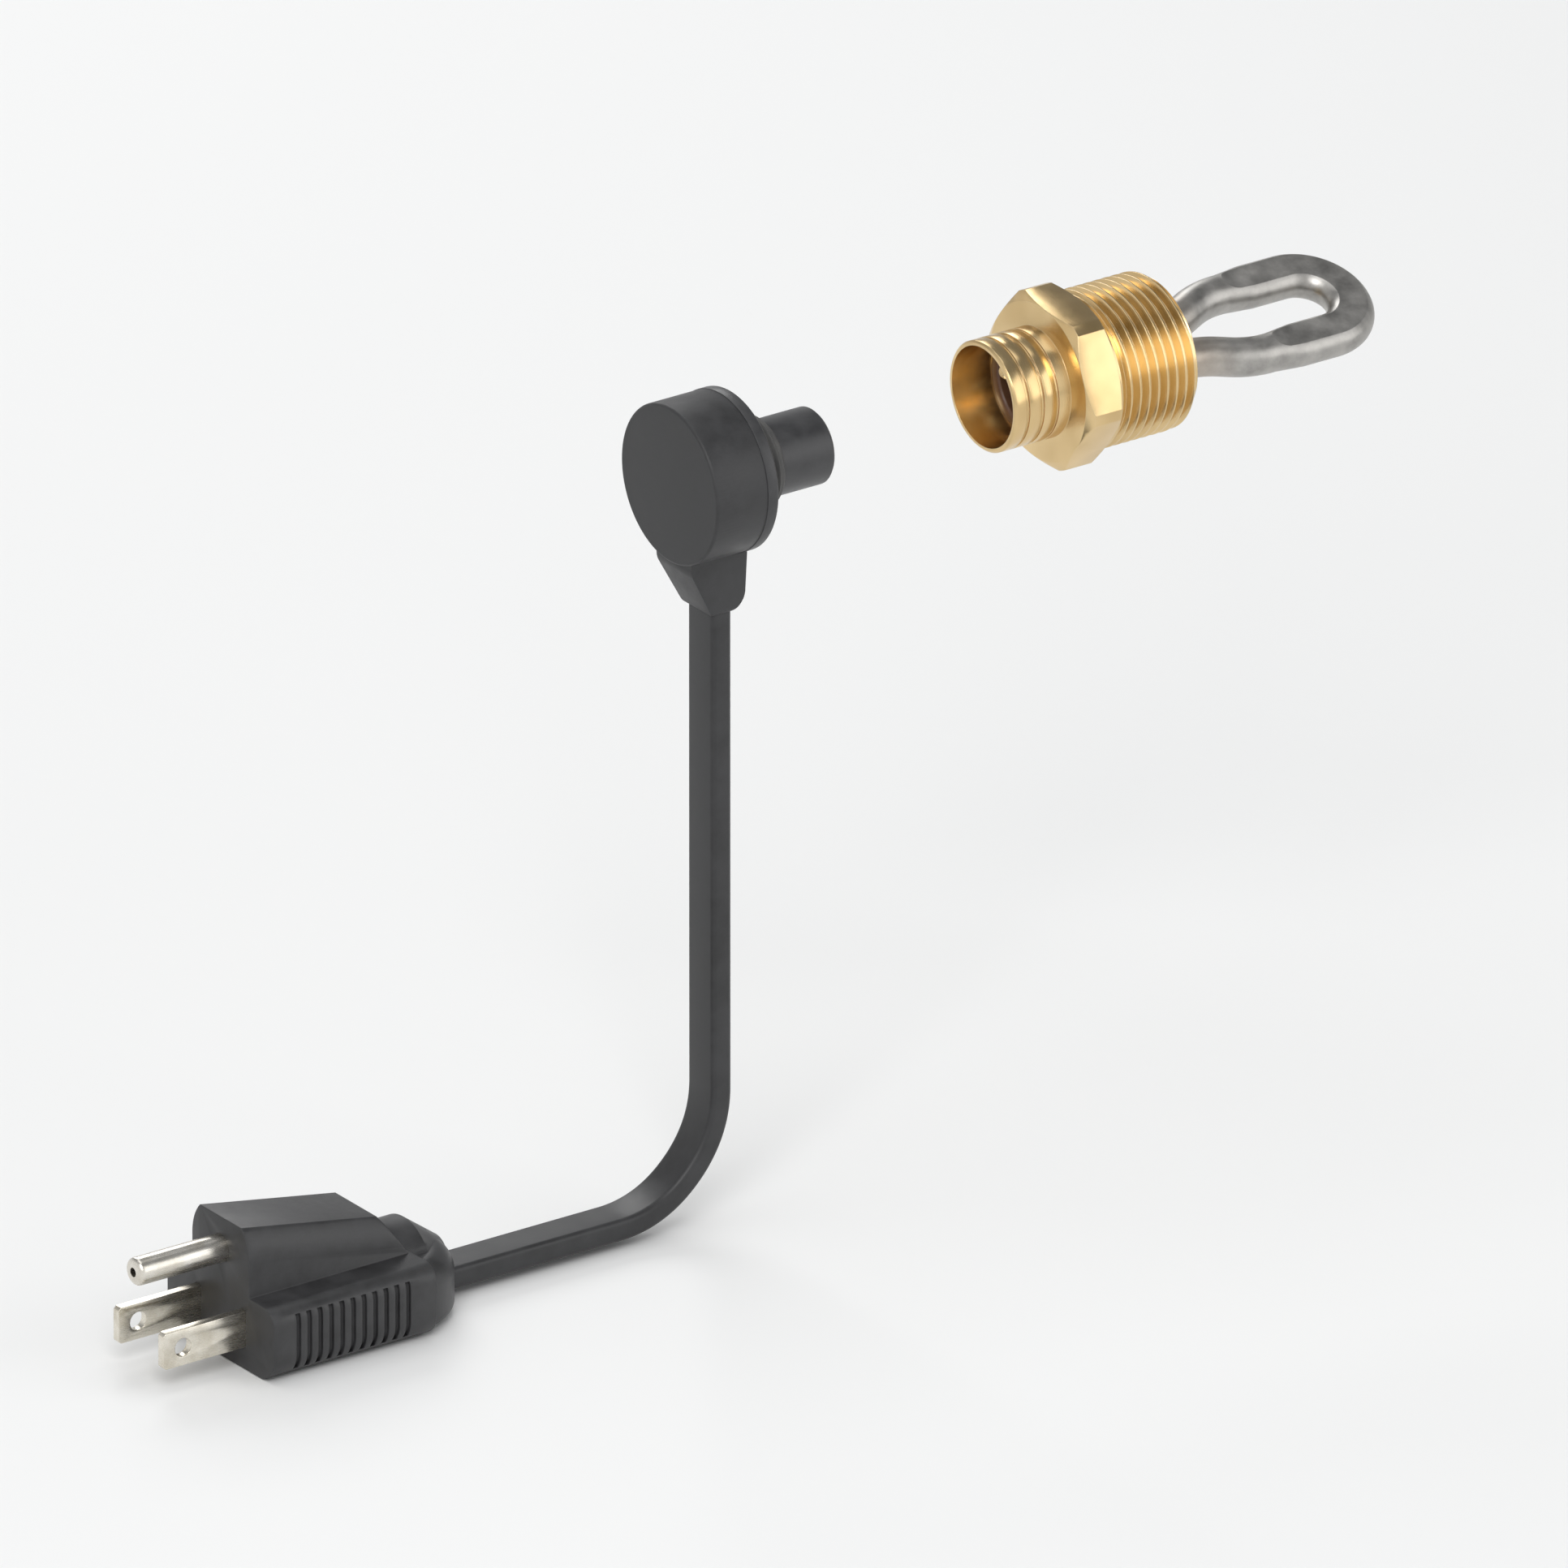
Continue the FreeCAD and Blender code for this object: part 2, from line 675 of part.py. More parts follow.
# Round ground prong with a hollow tip, stepped down inside the moulding
def ground_prong():
    tip_x = plug_face_x - ground_reach
    step_x = plug_face_x + bridge_setback + bridge_length
    body = rod(ground_radius, tip_x, plug_face_x, 0, ground_axis_z)
    rim = [edge for edge in body.Edges if abs(edge.BoundBox.XMax - tip_x) < 0.01]
    body = body.makeFillet(ground_tip_round, rim)
    shank = rod(ground_shank_radius, plug_face_x, step_x, 0, ground_axis_z)
    tail = rod(blade_tail_half, step_x, step_x + blade_tail, 0, ground_axis_z)
    bore = rod(ground_bore_radius, tip_x, tip_x + ground_bore_depth, 0, ground_axis_z)
    return body.fuse([shank, tail]).cut(bore)


# Insulated core from the cord to a blade or the ground prong
def plug_lead(name):
    across = core_offset(name)
    place = {"line": (-blade_half_gap, 0.0), "neutral": (blade_half_gap, 0.0),
             "ground": (0.0, ground_height)}[name]
    y = place[0]
    z = blade_plane_z + place[1]
    start_x = plug_face_x + bridge_setback + bridge_length + blade_tail
    points = [Vector(start_x, y, z), Vector(start_x + core_run, y, z),
              Vector(cord_plug_x - core_gather, across, cord_floor_z),
              Vector(cord_plug_x, across, cord_floor_z)]
    return swept_bar(rounded_route(points, [core_bend, core_bend]), core_radius)


nodes = {
    "hex_plug": hex_plug,
    "element_sheath": element_sheath,
    "magnesia_fill": magnesia_fill,
    "resistance_coil": resistance_coil,
    "ground_terminal": ground_terminal,
    "terminal_insulator": terminal_insulator,
    "sealing_compound": sealing_compound,
    "contact_carrier": contact_carrier,
    "mouth_seal": mouth_seal,
    "connector_housing": connector_housing,
    "cord": cord,
    "plug_moulding": plug_moulding,
    "blade_bridge": blade_bridge,
    "ground_prong": ground_prong,
}
cores = ("line", "neutral", "ground")
families = {
    "terminal_pin": (terminal_pin, cores[:2]),
    "end_seal": (end_seal, cores[:2]),
    "contact_sleeve": (contact_sleeve, cores),
    "connector_lead": (connector_lead, cores),
    "blade": (blade, cores[:2]),
    "plug_lead": (plug_lead, cores),
}

os.makedirs("parts", exist_ok=True)
for node, make in nodes.items():
    make().exportStep("parts/" + node + ".step")
    print("made", node)
for family, (make, names) in families.items():
    for name in names:
        make(name).exportStep("parts/" + family + "_" + name + ".step")
        print("made", family, name)
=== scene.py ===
import bpy
import math
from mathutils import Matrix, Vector


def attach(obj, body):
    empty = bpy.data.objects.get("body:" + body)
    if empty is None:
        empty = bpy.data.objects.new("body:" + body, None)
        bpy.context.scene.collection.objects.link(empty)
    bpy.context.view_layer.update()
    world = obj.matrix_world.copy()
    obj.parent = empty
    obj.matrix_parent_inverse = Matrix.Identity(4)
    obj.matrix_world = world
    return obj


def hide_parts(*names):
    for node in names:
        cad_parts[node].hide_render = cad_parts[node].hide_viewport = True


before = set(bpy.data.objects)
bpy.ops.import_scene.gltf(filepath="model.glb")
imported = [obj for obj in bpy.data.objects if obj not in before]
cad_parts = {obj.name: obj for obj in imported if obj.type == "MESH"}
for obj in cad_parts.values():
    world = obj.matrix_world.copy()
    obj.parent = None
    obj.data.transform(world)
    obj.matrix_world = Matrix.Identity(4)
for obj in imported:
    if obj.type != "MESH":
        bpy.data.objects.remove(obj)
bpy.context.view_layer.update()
print("frame loaded:", len(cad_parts), "nodes")

mm = 0.001
heaterBody = "heater"
cordBody = "cord_set"
mergeWithin = 0.002 * mm
creaseAngle = 35


def deselectAll():
    if bpy.context.object and bpy.context.object.mode != "OBJECT":
        bpy.ops.object.mode_set(mode="OBJECT")
    bpy.ops.object.select_all(action="DESELECT")


def makeActive(piece):
    deselectAll()
    piece.select_set(True)
    bpy.context.view_layer.objects.active = piece


def setPlaces(mesh, places):
    # writes moved vertices back in one go
    mesh.vertices.foreach_set("co", [value for place in places for value in place])
    mesh.update()


# Node groups shared by the finishes. Everything reads Object coordinates, in metres.

def startMaterial(name, metallic, roughness):
    material = bpy.data.materials.new(name)
    material.use_nodes = True
    nodes = material.node_tree.nodes
    shader = nodes["Principled BSDF"]
    shader.inputs["Metallic"].default_value = metallic
    shader.inputs["Roughness"].default_value = roughness
    return material, nodes, material.node_tree.links, shader


def objectPoint(nodes, links, stretch=(1, 1, 1)):
    coordinate = nodes.new("ShaderNodeTexCoord")
    mapping = nodes.new("ShaderNodeMapping")
    mapping.inputs["Scale"].default_value = stretch
    links.new(coordinate.outputs["Object"], mapping.inputs["Vector"])
    return mapping.outputs["Vector"]


def noiseAt(nodes, links, point, size, detail=3, rough=0.55):
    # size is the width of a blotch, in metres
    noise = nodes.new("ShaderNodeTexNoise")
    noise.inputs["Scale"].default_value = 1 / size
    noise.inputs["Detail"].default_value = detail
    noise.inputs["Roughness"].default_value = rough
    links.new(point, noise.inputs["Vector"])
    return noise.outputs["Fac"]


def mathNode(nodes, links, operation, first, second=None):
    node = nodes.new("ShaderNodeMath")
    node.operation = operation
    for socket, value in zip(node.inputs, (first, second)):
        if value is None:
            continue
        if isinstance(value, (int, float)):
            socket.default_value = value
        else:
            links.new(value, socket)
    return node.outputs[0]


def rampBetween(nodes, links, factor, low, high, start=0.3, end=0.7):
    ramp = nodes.new("ShaderNodeValToRGB")
    ramp.color_ramp.elements[0].position = start
    ramp.color_ramp.elements[1].position = end
    ramp.color_ramp.elements[0].color = (*low, 1)
    ramp.color_ramp.elements[1].color = (*high, 1)
    links.new(factor, ramp.inputs["Fac"])
    return ramp.outputs["Color"]


def mapBetween(nodes, links, factor, low, high, start=0.3, end=0.7):
    mapped = nodes.new("ShaderNodeMapRange")
    mapped.inputs["From Min"].default_value = start
    mapped.inputs["From Max"].default_value = end
    mapped.inputs["To Min"].default_value = low
    mapped.inputs["To Max"].default_value = high
    links.new(factor, mapped.inputs["Value"])
    return mapped.outputs["Result"]


def mixColours(nodes, links, factor, first, second):
    mix = nodes.new("ShaderNodeMix")
    mix.data_type = "RGBA"
    links.new(factor, mix.inputs["Factor"])
    links.new(first, mix.inputs["A"])
    if isinstance(second, tuple):
        mix.inputs["B"].default_value = (*second, 1)
    else:
        links.new(second, mix.inputs["B"])
    return mix.outputs["Result"]


def edgeMask(nodes, links, radius, gain):
    # 0 on open surfaces, towards 1 along edges, where handling wears a finish first
    bevel = nodes.new("ShaderNodeBevel")
    bevel.samples = 4
    bevel.inputs["Radius"].default_value = radius
    geometry = nodes.new("ShaderNodeNewGeometry")
    dot = nodes.new("ShaderNodeVectorMath")
    dot.operation = "DOT_PRODUCT"
    links.new(bevel.outputs["Normal"], dot.inputs[0])
    links.new(geometry.outputs["Normal"], dot.inputs[1])
    away = mathNode(nodes, links, "SUBTRACT", 1.0, dot.outputs["Value"])
    strong = mathNode(nodes, links, "MULTIPLY", away, gain)
    return mathNode(nodes, links, "MINIMUM", strong, 1.0)


def addBump(nodes, links, height, distance, strength=1.0, after=None, softEdge=None):
    bump = nodes.new("ShaderNodeBump")
    bump.inputs["Distance"].default_value = distance
    bump.inputs["Strength"].default_value = strength
    links.new(height, bump.inputs["Height"])
    if softEdge:
        bevel = nodes.new("ShaderNodeBevel")
        bevel.samples = 4
        bevel.inputs["Radius"].default_value = softEdge
        links.new(bevel.outputs["Normal"], bump.inputs["Normal"])
    if after:
        links.new(after, bump.inputs["Normal"])
    return bump.outputs["Normal"]


brassFinish = {"clean": (0.80, 0.60, 0.32), "tarnished": (0.63, 0.45, 0.22), "worn": (0.92, 0.78, 0.52),
               "markSpacing": 0.3 * mm, "markDepth": 0.003 * mm, "markStrength": 0.8,
               "streakStretch": (0.04, 1, 1), "hexRadius": 13.45 * mm, "tarnishSize": 11.0 * mm,
               "handlingSize": 2.2 * mm, "roughness": (0.2, 0.27), "wornWidth": 0.3 * mm, "wornGain": 1.4,
               "softEdge": 0.15 * mm}


def brassMaterial():
    # turned rings on everything round, drawn streaks on the hexagon's flats
    finish = brassFinish
    material, nodes, links, shader = startMaterial("turned brass", 1.0, 0.3)
    point = objectPoint(nodes, links)
    split = nodes.new("ShaderNodeSeparateXYZ")
    links.new(point, split.inputs["Vector"])
    squareY = mathNode(nodes, links, "POWER", split.outputs["Y"], 2.0)
    squareZ = mathNode(nodes, links, "POWER", split.outputs["Z"], 2.0)
    radius = mathNode(nodes, links, "SQRT", mathNode(nodes, links, "ADD", squareY, squareZ))
    along = mathNode(nodes, links, "ADD", split.outputs["X"], radius)
    turns = mathNode(nodes, links, "MULTIPLY", along, 2 * math.pi / finish["markSpacing"])
    rings = mathNode(nodes, links, "MULTIPLY", mathNode(nodes, links, "SINE", turns), 0.5)
    drawn = objectPoint(nodes, links, finish["streakStretch"])
    streaks = noiseAt(nodes, links, drawn, finish["markSpacing"], 2)
    onHexagon = mathNode(nodes, links, "GREATER_THAN", radius, finish["hexRadius"])
    marks = nodes.new("ShaderNodeMix")
    links.new(onHexagon, marks.inputs["Factor"])
    links.new(rings, marks.inputs["A"])
    links.new(streaks, marks.inputs["B"])
    tarnish = noiseAt(nodes, links, point, finish["tarnishSize"], 2, 0.5)
    handling = noiseAt(nodes, links, point, finish["handlingSize"], 2, 0.5)
    base = rampBetween(nodes, links, tarnish, finish["tarnished"], finish["clean"])
    worn = edgeMask(nodes, links, finish["wornWidth"], finish["wornGain"])
    links.new(mixColours(nodes, links, worn, base, finish["worn"]), shader.inputs["Base Color"])
    links.new(mapBetween(nodes, links, handling, *finish["roughness"]), shader.inputs["Roughness"])
    turned = addBump(nodes, links, marks.outputs["Result"], finish["markDepth"], finish["markStrength"],
                     softEdge=finish["softEdge"])
    links.new(turned, shader.inputs["Normal"])
    return material


sheathFinish = {"dull": (0.29, 0.28, 0.265), "bright": (0.50, 0.485, 0.46), "worn": (0.70, 0.69, 0.66),
                "blotchSize": 5.0 * mm, "roughness": (0.28, 0.46), "wornWidth": 0.3 * mm, "wornGain": 1.4,
                "heatTint": (0.38, 0.27, 0.17), "heatShare": 0.55, "heatStart": 17.0 * mm,
                "heatEnd": 27.0 * mm, "lineStretch": (0.06, 1, 1), "lineSpacing": 0.3 * mm,
                "lineDepth": 0.012 * mm, "lineStrength": 0.7, "softEdge": 0.2 * mm}


def sheathMaterial():
    # drawn alloy tube with fine lines along it, browned near its braze and rubbed bright along creases
    finish = sheathFinish
    material, nodes, links, shader = startMaterial("alloy sheath", 0.95, 0.36)
    point = objectPoint(nodes, links)
    blotch = noiseAt(nodes, links, point, finish["blotchSize"], 5, 0.62)
    base = rampBetween(nodes, links, blotch, finish["dull"], finish["bright"], 0.3, 0.68)
    split = nodes.new("ShaderNodeSeparateXYZ")
    links.new(point, split.inputs["Vector"])
    heat = mapBetween(nodes, links, split.outputs["X"], finish["heatShare"], 0.0, finish["heatStart"],
                      finish["heatEnd"])
    tinted = mixColours(nodes, links, heat, base, finish["heatTint"])
    worn = edgeMask(nodes, links, finish["wornWidth"], finish["wornGain"])
    links.new(mixColours(nodes, links, worn, tinted, finish["worn"]), shader.inputs["Base Color"])
    links.new(mapBetween(nodes, links, blotch, *finish["roughness"]), shader.inputs["Roughness"])
    lines = noiseAt(nodes, links, objectPoint(nodes, links, finish["lineStretch"]), finish["lineSpacing"], 2)
    drawn = addBump(nodes, links, lines, finish["lineDepth"], finish["lineStrength"],
                    softEdge=finish["softEdge"])
    links.new(drawn, shader.inputs["Normal"])
    return material


rubberFinish = {"mottleSize": 4.0 * mm, "wornWidth": 0.4 * mm, "wornGain": 0.9, "edgePaler": 2.1,
                "smoother": 0.07, "rougher": 0.08, "grainStrength": 0.8}


def rubberMaterial(name, dark, light, roughness, grain, depth, softEdge):
    # moulded black rubber or vinyl: a fine grain over a slow mottle, edges rubbed paler
    material, nodes, links, shader = startMaterial(name, 0.0, roughness)
    point = objectPoint(nodes, links)
    finish = rubberFinish
    mottle = noiseAt(nodes, links, point, finish["mottleSize"], 4, 0.6)
    base = rampBetween(nodes, links, mottle, dark, light)
    worn = edgeMask(nodes, links, finish["wornWidth"], finish["wornGain"])
    edgeTone = tuple(min(1.0, tone * finish["edgePaler"]) for tone in light)
    links.new(mixColours(nodes, links, worn, base, edgeTone), shader.inputs["Base Color"])
    spread = (roughness - finish["smoother"], roughness + finish["rougher"])
    links.new(mapBetween(nodes, links, mottle, *spread), shader.inputs["Roughness"])
    fine = noiseAt(nodes, links, point, grain, 3, 0.6)
    links.new(addBump(nodes, links, fine, depth, finish["grainStrength"], softEdge=softEdge),
              shader.inputs["Normal"])
    return material


jacketFinish = {"dark": (0.017, 0.017, 0.018), "light": (0.034, 0.034, 0.036), "mottleSize": 6.0 * mm,
                "roughness": (0.38, 0.52), "lineScale": (60, 1.5, 1), "lineDepth": 0.02 * mm,
                "lineStrength": 0.5, "grain": 0.25 * mm, "grainDepth": 0.012 * mm, "grainStrength": 0.6}


def cordMaterial():
    # extruded jacket: faint lines along the cord follow its own map of the jacket
    finish = jacketFinish
    material, nodes, links, shader = startMaterial("cord jacket", 0.0, 0.46)
    point = objectPoint(nodes, links)
    mottle = noiseAt(nodes, links, point, finish["mottleSize"], 4, 0.6)
    links.new(rampBetween(nodes, links, mottle, finish["dark"], finish["light"]),
              shader.inputs["Base Color"])
    links.new(mapBetween(nodes, links, mottle, *finish["roughness"]), shader.inputs["Roughness"])
    across = nodes.new("ShaderNodeUVMap")
    across.uv_map = "jacket"
    mapping = nodes.new("ShaderNodeMapping")
    mapping.inputs["Scale"].default_value = finish["lineScale"]
    links.new(across.outputs["UV"], mapping.inputs["Vector"])
    lines = noiseAt(nodes, links, mapping.outputs["Vector"], 1.0, 2)
    first = addBump(nodes, links, lines, finish["lineDepth"], finish["lineStrength"])
    fine = noiseAt(nodes, links, point, finish["grain"], 2)
    links.new(addBump(nodes, links, fine, finish["grainDepth"], finish["grainStrength"], after=first),
              shader.inputs["Normal"])
    return material


platedFinish = {"brushSpacing": 0.2 * mm, "brushDepth": 0.002 * mm, "brushStrength": 0.7,
                "stainSize": 3.5 * mm, "wornWidth": 0.2 * mm, "wornGain": 1.2, "edgePaler": 1.15,
                "smoother": 0.03, "rougher": 0.05, "softEdge": 0.1 * mm}


def platedMaterial(name, bright, dull, stretch, roughness=0.26):
    # plated metal, brushed one way and slightly stained
    material, nodes, links, shader = startMaterial(name, 1.0, roughness)
    point = objectPoint(nodes, links)
    finish = platedFinish
    brushed = noiseAt(nodes, links, objectPoint(nodes, links, stretch), finish["brushSpacing"], 3)
    stain = noiseAt(nodes, links, point, finish["stainSize"], 4, 0.6)
    base = rampBetween(nodes, links, stain, dull, bright, 0.3, 0.6)
    worn = edgeMask(nodes, links, finish["wornWidth"], finish["wornGain"])
    edgeTone = tuple(min(1.0, tone * finish["edgePaler"]) for tone in bright)
    links.new(mixColours(nodes, links, worn, base, edgeTone), shader.inputs["Base Color"])
    spread = (roughness - finish["smoother"], roughness + finish["rougher"])
    links.new(mapBetween(nodes, links, brushed, *spread), shader.inputs["Roughness"])
    lines = addBump(nodes, links, brushed, finish["brushDepth"], finish["brushStrength"],
                    softEdge=finish["softEdge"])
    links.new(lines, shader.inputs["Normal"])
    return material


mouldedFinish = {"driftSize": 3.0 * mm, "smoother": 0.06, "rougher": 0.08, "grainStrength": 0.8,
                 "softEdge": 0.15 * mm}


def mouldedMaterial(name, low, high, roughness, grain=0.3 * mm, depth=0.01 * mm):
    # hard moulding: slight tone drift and a fine tool texture
    material, nodes, links, shader = startMaterial(name, 0.0, roughness)
    point = objectPoint(nodes, links)
    finish = mouldedFinish
    drift = noiseAt(nodes, links, point, finish["driftSize"], 4, 0.6)
    links.new(rampBetween(nodes, links, drift, low, high), shader.inputs["Base Color"])
    spread = (roughness - finish["smoother"], roughness + finish["rougher"])
    links.new(mapBetween(nodes, links, drift, *spread), shader.inputs["Roughness"])
    fine = noiseAt(nodes, links, point, grain, 3, 0.6)
    links.new(addBump(nodes, links, fine, depth, finish["grainStrength"], softEdge=finish["softEdge"]),
              shader.inputs["Normal"])
    return material


def makeMaterials():
    along = (0.05, 1, 1)
    return {
        "brass": brassMaterial(),
        "sheath": sheathMaterial(),
        "braze": platedMaterial("silver braze", (0.78, 0.72, 0.60), (0.52, 0.44, 0.33), (1, 1, 1), 0.34),
        "housing": rubberMaterial("connector rubber", (0.020, 0.020, 0.021), (0.036, 0.036, 0.038),
                                  0.5, 0.22 * mm, 0.02 * mm, 0.3 * mm),
        "vinyl": rubberMaterial("plug vinyl", (0.022, 0.022, 0.023), (0.040, 0.040, 0.042),
                                0.42, 0.3 * mm, 0.016 * mm, 0.3 * mm),
        "seal": rubberMaterial("seal rubber", (0.05, 0.05, 0.05), (0.085, 0.083, 0.08),
                               0.6, 0.2 * mm, 0.01 * mm, 0.15 * mm),
        "cord": cordMaterial(),
        "carrier": mouldedMaterial("black nylon", (0.030, 0.030, 0.032), (0.048, 0.048, 0.050), 0.4),
        "insulator": mouldedMaterial("brown phenolic", (0.10, 0.045, 0.025), (0.17, 0.085, 0.05), 0.35),
        "bridge": mouldedMaterial("ivory nylon", (0.55, 0.52, 0.45), (0.68, 0.65, 0.57), 0.45),
        "magnesia": mouldedMaterial("packed magnesia", (0.72, 0.70, 0.65), (0.82, 0.80, 0.75), 0.9,
                                    0.15 * mm, 0.05 * mm),
        "potting": mouldedMaterial("cast epoxy", (0.07, 0.065, 0.06), (0.11, 0.10, 0.095), 0.3),
        "silicone": mouldedMaterial("red silicone", (0.40, 0.10, 0.06), (0.52, 0.15, 0.09), 0.55),
        "wire": platedMaterial("resistance wire", (0.52, 0.50, 0.47), (0.36, 0.34, 0.32), (1, 1, 1), 0.4),
        "blade": platedMaterial("nickel-washed blade", (0.80, 0.76, 0.67), (0.63, 0.58, 0.48), along),
        "pin": platedMaterial("nickel pin", (0.78, 0.75, 0.69), (0.62, 0.58, 0.50), along),
        "sleeve": platedMaterial("brass sleeve", (0.82, 0.66, 0.38), (0.60, 0.46, 0.24), along, 0.3),
        "coreBlack": mouldedMaterial("black core", (0.02, 0.02, 0.02), (0.035, 0.035, 0.035), 0.4),
        "coreWhite": mouldedMaterial("white core", (0.70, 0.70, 0.68), (0.80, 0.80, 0.78), 0.4),
        "coreGreen": mouldedMaterial("green core", (0.02, 0.20, 0.07), (0.04, 0.28, 0.10), 0.4),
    }


materials = makeMaterials()
print("materials made:", len(materials))


def finishPiece(piece, body, material, node=None, angle=creaseAngle):
    makeActive(piece)
    bpy.ops.object.shade_smooth_by_angle(angle=math.radians(angle))
    piece.data.materials.clear()
    piece.data.materials.append(material)
    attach(piece, body)
    if node:
        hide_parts(node)
    deselectAll()
    return piece


def copyNode(node, name):
    # a merged copy of a CAD solid, so that its curves shade smoothly and its edges can be rounded
    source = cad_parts[node]
    piece = source.copy()
    piece.data = source.data.copy()
    piece.parent = None
    piece.name = name
    for key in list(piece.keys()):
        del piece[key]
    bpy.context.scene.collection.objects.link(piece)
    makeActive(piece)
    bpy.ops.object.mode_set(mode="EDIT")
    bpy.ops.mesh.select_all(action="SELECT")
    bpy.ops.mesh.remove_doubles(threshold=mergeWithin)
    bpy.ops.object.mode_set(mode="OBJECT")
    if piece.data.has_custom_normals:
        bpy.ops.mesh.customdata_custom_splitnormals_clear()
    return piece


bevelSizes = {"angle": 38, "segments": 2, "flatWithin": 0.4}


def roundEdges(piece, width, angle=bevelSizes["angle"]):
    # flat faces are cleared of their loose edges first, then every edge sharper than the angle is rounded
    makeActive(piece)
    bpy.ops.object.mode_set(mode="EDIT")
    bpy.ops.mesh.select_all(action="SELECT")
    bpy.ops.mesh.dissolve_limited(angle_limit=math.radians(bevelSizes["flatWithin"]))
    bpy.ops.object.mode_set(mode="OBJECT")
    bevel = piece.modifiers.new("edges", "BEVEL")
    bevel.width = width
    bevel.segments = bevelSizes["segments"]
    bevel.limit_method = "ANGLE"
    bevel.angle_limit = math.radians(angle)
    bpy.ops.object.modifier_apply(modifier="edges")


creaseAngles = {"element_sheath": 20}  # its press marks are shallow creases


def dressNode(node, body, material, edgeWidth=0.0):
    piece = copyNode(node, node + "_finished")
    if edgeWidth:
        roundEdges(piece, edgeWidth)
    return finishPiece(piece, body, material, node, creaseAngles.get(node, creaseAngle))


threadSizes = {"crestRadius": 13.335 * mm, "depth": 1.2 * mm, "pitch": 1.814 * mm, "length": 16.2 * mm,
               "leadIn": 1.2 * mm, "runOut": 2.4 * mm, "steps": 144, "seat": 0.3 * mm,
               "mergeWithin": 0.005 * mm, "turnsToTrim": 2, "firstTurn": -1.5,
               "outline": [(0.0, 0.0), (0.08, 0.0), (0.20, 0.33), (0.32, 0.66), (0.44, 1.0), (0.56, 1.0),
                           (0.68, 0.66), (0.80, 0.33), (0.92, 0.0), (1.0, 0.0)]}


def threadOutline():
    # one pitch of the thread, drawn step by step from a single point; shares of pitch and depth
    pitch = threadSizes["pitch"]
    depth = threadSizes["depth"]
    outline = threadSizes["outline"]
    deselectAll()
    root = threadSizes["crestRadius"] - depth
    bpy.ops.mesh.primitive_plane_add(size=pitch, location=(threadSizes["firstTurn"] * pitch, 0, root))
    thread = bpy.context.object
    thread.name = "thread"
    bpy.ops.object.mode_set(mode="EDIT")
    bpy.ops.mesh.merge(type="CENTER")
    for (share, rise), (nextShare, nextRise) in zip(outline, outline[1:]):
        step = ((nextShare - share) * pitch, 0, (nextRise - rise) * depth)
        bpy.ops.mesh.extrude_vertices_move(TRANSFORM_OT_translate={"value": step})
    bpy.ops.object.mode_set(mode="OBJECT")
    bpy.ops.object.transform_apply(location=True, rotation=True, scale=True)
    return thread


def trimThread(thread):
    # both ends cut square, then the lead-in chamfered and the last turn run out towards the hexagon
    sizes = threadSizes
    makeActive(thread)
    bpy.ops.object.mode_set(mode="EDIT")
    bpy.ops.mesh.select_all(action="SELECT")
    bpy.ops.mesh.remove_doubles(threshold=sizes["mergeWithin"])
    for place, side in ((0.0, -1), (sizes["length"], 1)):
        bpy.ops.mesh.select_all(action="SELECT")
        bpy.ops.mesh.bisect(plane_co=(place, 0, 0), plane_no=(side, 0, 0), clear_outer=True)
    bpy.ops.mesh.select_all(action="SELECT")
    bpy.ops.mesh.remove_doubles(threshold=sizes["mergeWithin"])
    bpy.ops.mesh.delete_loose()
    bpy.ops.object.mode_set(mode="OBJECT")
    crest = sizes["crestRadius"]
    chamferStart = sizes["length"] - sizes["leadIn"]
    places = []
    for vertex in thread.data.vertices:
        x, y, z = vertex.co
        radius = math.hypot(y, z)
        runOut = crest - sizes["depth"] * min(1.0, max(0.0, x) / sizes["runOut"])
        leadIn = crest - max(0.0, x - chamferStart)
        scale = min(max(radius, runOut), leadIn) / radius
        places.append((x, y * scale, z * scale))
    setPlaces(thread.data, places)


def closeThread(thread, inner):
    # both open ends turned in under the plug's own wall and joined there, so that the thread is closed
    sizes = threadSizes
    middle = sizes["length"] / 2
    makeActive(thread)
    bpy.ops.object.mode_set(mode="EDIT")
    bpy.ops.mesh.select_mode(type="EDGE")
    bpy.ops.mesh.select_all(action="DESELECT")
    bpy.ops.mesh.select_non_manifold(extend=False)
    bpy.ops.mesh.extrude_edges_move()
    bpy.ops.object.mode_set(mode="OBJECT")
    places = []
    for vertex in thread.data.vertices:
        x, y, z = vertex.co
        if vertex.select:
            scale = inner / math.hypot(y, z)
            x += sizes["seat"] if x < middle else -sizes["seat"]
            y, z = y * scale, z * scale
        places.append((x, y, z))
    setPlaces(thread.data, places)
    bpy.ops.object.mode_set(mode="EDIT")
    bpy.ops.mesh.bridge_edge_loops()
    bpy.ops.mesh.select_all(action="SELECT")
    bpy.ops.mesh.normals_make_consistent(inside=False)
    bpy.ops.mesh.select_mode(type="VERT")
    bpy.ops.object.mode_set(mode="OBJECT")


def screwThread(core):
    # the outline turned about the plug's axis, a pitch a turn, with turns to spare at both ends
    sizes = threadSizes
    thread = threadOutline()
    screw = thread.modifiers.new("helix", "SCREW")
    screw.axis = "X"
    screw.angle = 2 * math.pi
    screw.screw_offset = sizes["pitch"]
    screw.iterations = math.ceil(sizes["length"] / sizes["pitch"]) + sizes["turnsToTrim"]
    screw.steps = sizes["steps"]
    screw.render_steps = sizes["steps"]
    makeActive(thread)
    bpy.ops.object.modifier_apply(modifier="helix")
    trimThread(thread)
    closeThread(thread, core - sizes["seat"])
    return thread


